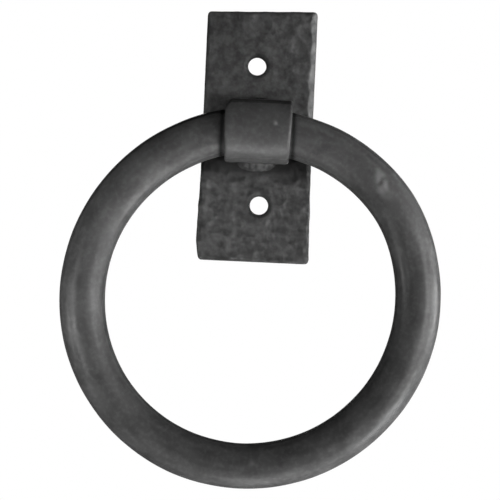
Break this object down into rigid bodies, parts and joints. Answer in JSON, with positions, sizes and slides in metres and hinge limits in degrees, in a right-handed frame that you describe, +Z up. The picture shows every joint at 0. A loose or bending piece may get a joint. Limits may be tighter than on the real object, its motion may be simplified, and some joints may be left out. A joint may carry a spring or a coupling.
{
  "type": "ring pull handle",
  "caption": "Hammered black-iron back plate with a welded strap that carries a thick round ring; it screws to a door or drawer front and the ring swings out to be pulled.",
  "frame": {"origin": "on the back face of the plate, straight behind the middle of the strap, where the ring turns", "axes": "+X to the right seen from the front, +Y into the door, +Z up with the ring hanging down"},
  "size_m": [0.108, 0.0212, 0.1369],
  "materials": {
    "hammered_iron": "hammered, matte black",
    "smooth_iron": "smooth, satin black",
    "weld_iron": "rippled weld, matte black"
  },
  "bodies": {
    "base": {"back_plate": "hammered_iron", "strap": "smooth_iron", "strap_welds": "weld_iron"},
    "ring": {"ring": "smooth_iron"}
  },
  "joints": [
    {"name": "ring_swing", "type": "hinge", "parent": "base", "child": "ring", "pos_m": [0, -0.01225, 0], "axis": [-1, 0, 0], "range_deg": [-3.4, 183.4]}
  ]
}
